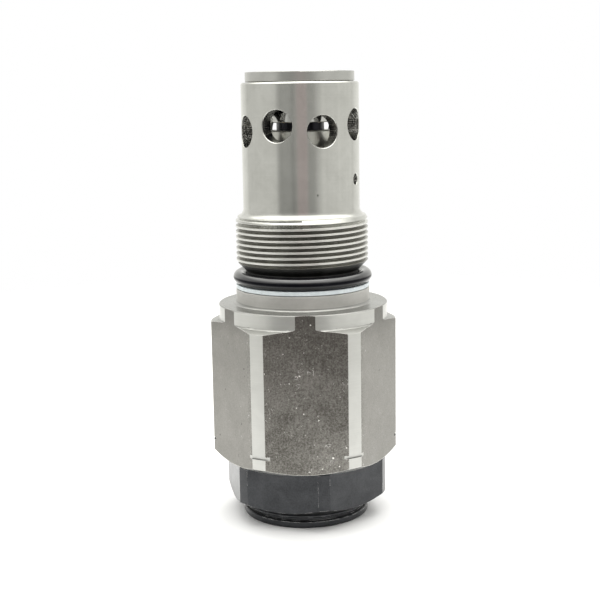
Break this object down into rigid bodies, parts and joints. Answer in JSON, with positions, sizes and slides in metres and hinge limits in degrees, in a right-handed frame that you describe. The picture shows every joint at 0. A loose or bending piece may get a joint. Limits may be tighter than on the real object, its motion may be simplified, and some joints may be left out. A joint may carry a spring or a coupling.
{
  "type": "cartridge valve",
  "caption": "Screw-in hydraulic relief cartridge: windowed nose sleeve, fine thread, O-ring and backup ring, hexagon body, black lock nut and adjusting plug.",
  "frame": {"origin": "centre of the adjusting plug's end face, on which the valve stands", "axes": "+Z along the valve's axis towards the inlet nose, -Y towards the front"},
  "size_m": [0.051, 0.0464, 0.1216],
  "materials": {
    "turned_steel": "satin turned, bare bar stock on the flats",
    "ground_steel": "fine ground",
    "hardened_steel": "hardened and lapped",
    "spring_steel": "oiled spring steel",
    "black_oxide": "satin black oxide",
    "bronze": "machined bronze",
    "nitrile_rubber": "semi-gloss, oiled",
    "white_ptfe": "waxy"
  },
  "bodies": {
    "housing": {"valve_body": "turned_steel", "valve_seat": "ground_steel", "seat_o_ring": "nitrile_rubber", "seat_backup_ring": "white_ptfe", "body_o_ring": "nitrile_rubber", "body_backup_ring": "white_ptfe", "poppet_guide": "bronze"},
    "poppet_assembly": {"main_poppet": "hardened_steel", "orifice_screw": "black_oxide", "upper_spring_seat": "hardened_steel"},
    "adjuster_core": {"piston_liner": "ground_steel", "liner_o_ring": "nitrile_rubber", "liner_backup_ring": "white_ptfe"},
    "adjuster_screw": {"adjusting_plug": "black_oxide", "plug_o_ring": "nitrile_rubber", "plug_backup_ring": "white_ptfe", "retaining_ring": "spring_steel"},
    "damping_assembly": {"damping_piston": "hardened_steel", "thick_shim": "ground_steel", "thin_shim": "ground_steel", "lower_spring_seat": "hardened_steel", "main_spring": "spring_steel"},
    "nut_seal": {"nut_seal_ring": "nitrile_rubber"},
    "nut": {"lock_nut": "black_oxide"}
  },
  "joints": [
    {"name": "poppet_lift", "type": "slide", "parent": "housing", "child": "poppet_assembly", "axis": [0, 0, -1], "range_m": [0, 0.0025], "stiffness_N_per_m": 1500, "springref_m": -0.002, "deforming": ["main_spring"]},
    {"name": "adjuster_travel", "type": "slide", "parent": "housing", "child": "adjuster_core", "axis": [0, 0, 1], "range_m": [-0.0015, 0.00225]},
    {"name": "adjuster_turn", "type": "hinge", "parent": "adjuster_core", "child": "adjuster_screw", "pos_m": [0, 0, 0.02], "axis": [0, 0, 1], "range_deg": [-370, 550]},
    {"name": "damping_stroke", "type": "slide", "parent": "adjuster_core", "child": "damping_assembly", "axis": [0, 0, 1], "range_m": [0, 0.003], "stiffness_N_per_m": 1500, "springref_m": -0.002},
    {"name": "nut_travel", "type": "slide", "parent": "housing", "child": "nut_seal", "axis": [0, 0, -1], "range_m": [0, 0.0015]},
    {"name": "nut_turn", "type": "hinge", "parent": "nut_seal", "child": "nut", "pos_m": [0, 0, 0.01], "axis": [0, 0, -1], "range_deg": [-5, 365]}
  ],
  "couplings": [
    {"joint": "adjuster_turn", "follows": "adjuster_travel", "rad_per_m": 4188.8},
    {"joint": "nut_turn", "follows": "nut_travel", "rad_per_m": 4188.8}
  ]
}
